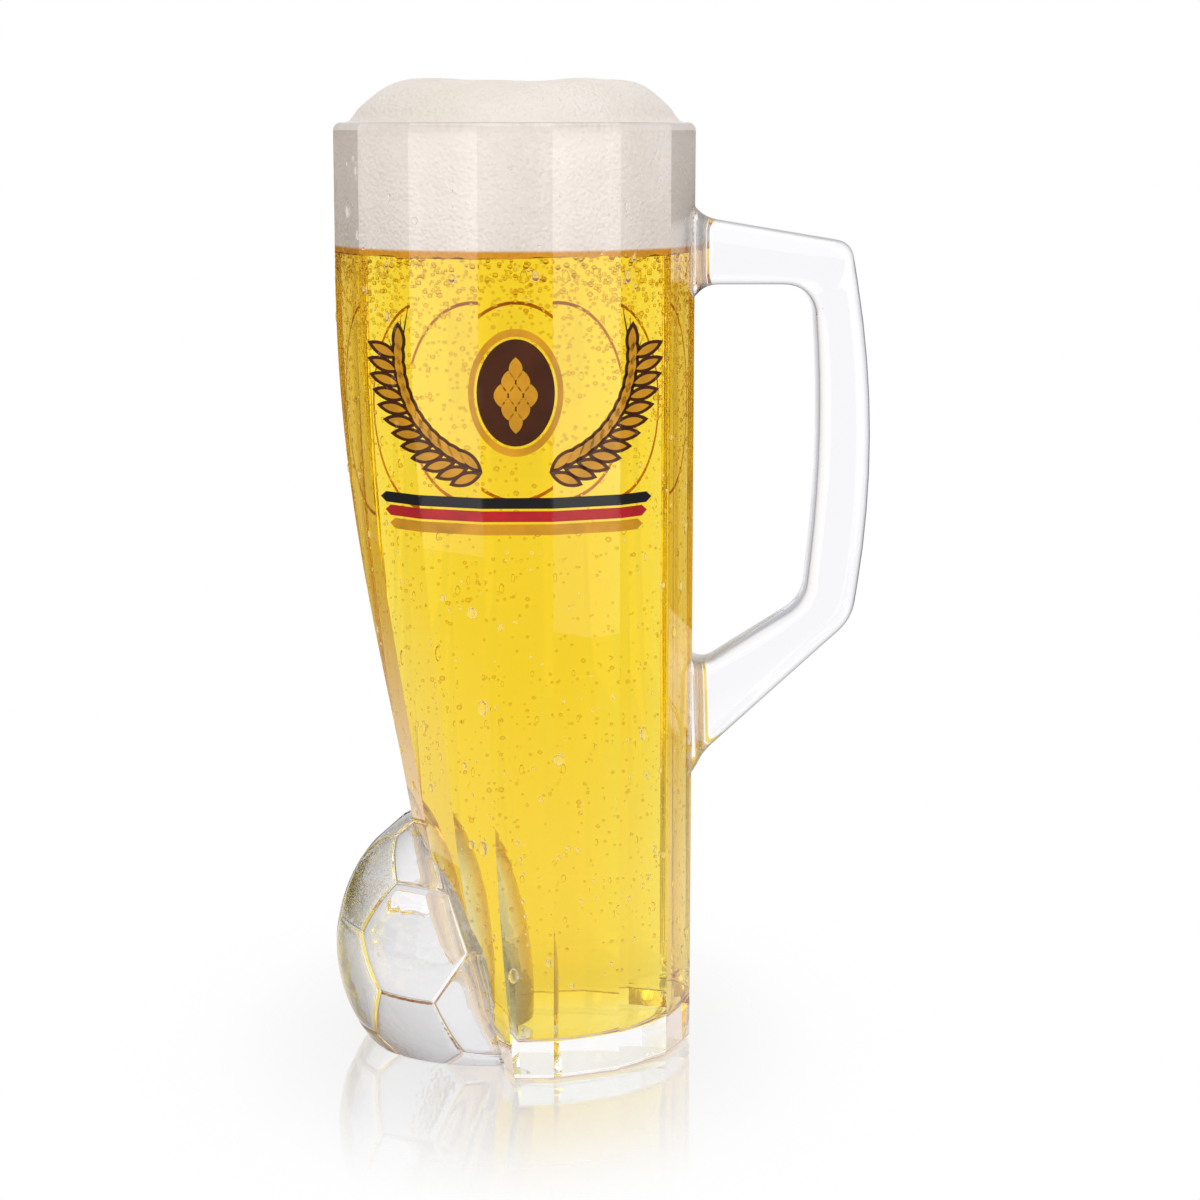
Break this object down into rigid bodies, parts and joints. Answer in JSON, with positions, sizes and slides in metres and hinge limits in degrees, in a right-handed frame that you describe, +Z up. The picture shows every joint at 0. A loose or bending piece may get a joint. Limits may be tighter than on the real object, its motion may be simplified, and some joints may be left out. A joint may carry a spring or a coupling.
{
  "type": "beer mug",
  "caption": "Tall panelled glass beer mug with an angular handle and a glass football fused into its foot, filled with beer under a head of foam.",
  "frame": {"origin": "on the flat underside of the foot, on the axis of the round mouth", "axes": "+Z up along the mug, +X towards the handle, -X towards the football, -Y to the front"},
  "size_m": [0.1193, 0.0784, 0.2141],
  "materials": {
    "glass": "clear, fire-polished",
    "beer": "clear golden liquid",
    "foam": "fine froth"
  },
  "bodies": {
    "root": {"mug_body": "glass", "handle": "glass", "football": "glass", "beer": "beer", "foam_head": "foam"}
  },
  "joints": []
}
